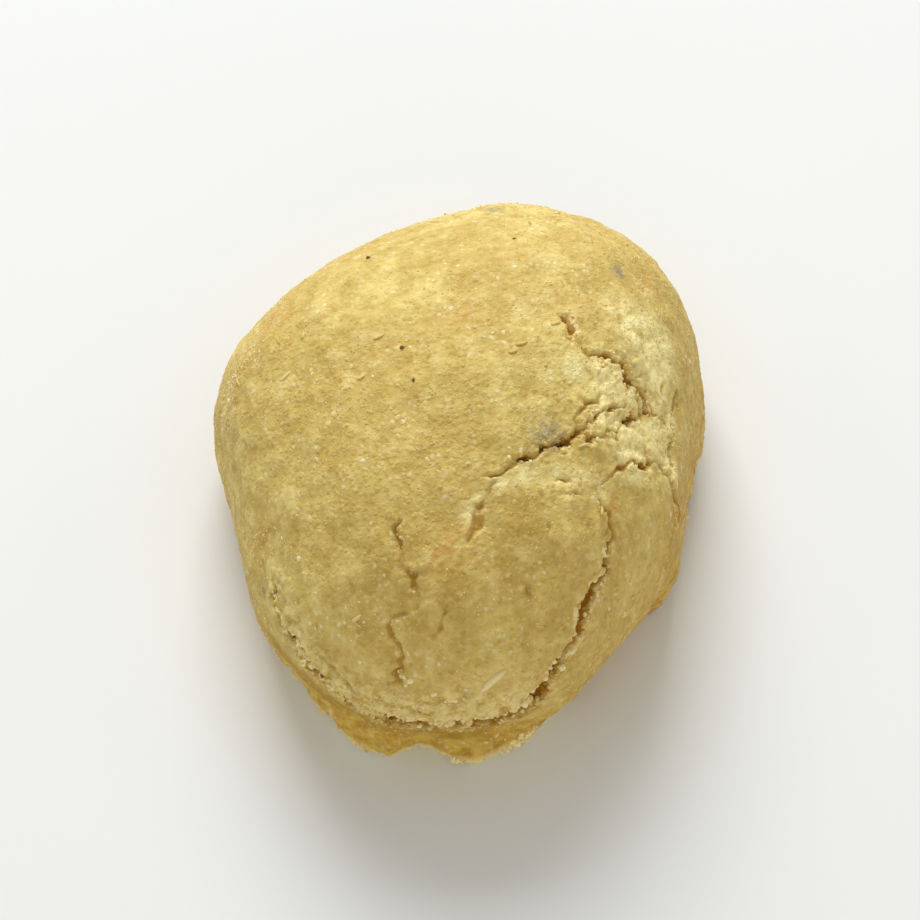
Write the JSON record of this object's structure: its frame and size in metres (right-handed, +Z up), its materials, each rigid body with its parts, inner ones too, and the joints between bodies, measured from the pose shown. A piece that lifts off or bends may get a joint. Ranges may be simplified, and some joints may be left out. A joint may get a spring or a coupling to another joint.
{
  "type": "coconut macaroon",
  "caption": "Domed drop of baked coconut dough with a cracked, crumbly pale-gold crust, a ragged foot torn from the crust on one side, and a flat underside.",
  "frame": {"origin": "middle of the bounding box, at the flat underside", "axes": "+Z up out of the crown; +Y along the longer side of the oval; the side where the crust has torn away from the foot faces -Y"},
  "size_m": [0.04, 0.0472, 0.0246],
  "materials": {
    "crust": "dry, matt, sandy"
  },
  "bodies": {
    "root": {"macaroon": "crust"}
  },
  "joints": []
}
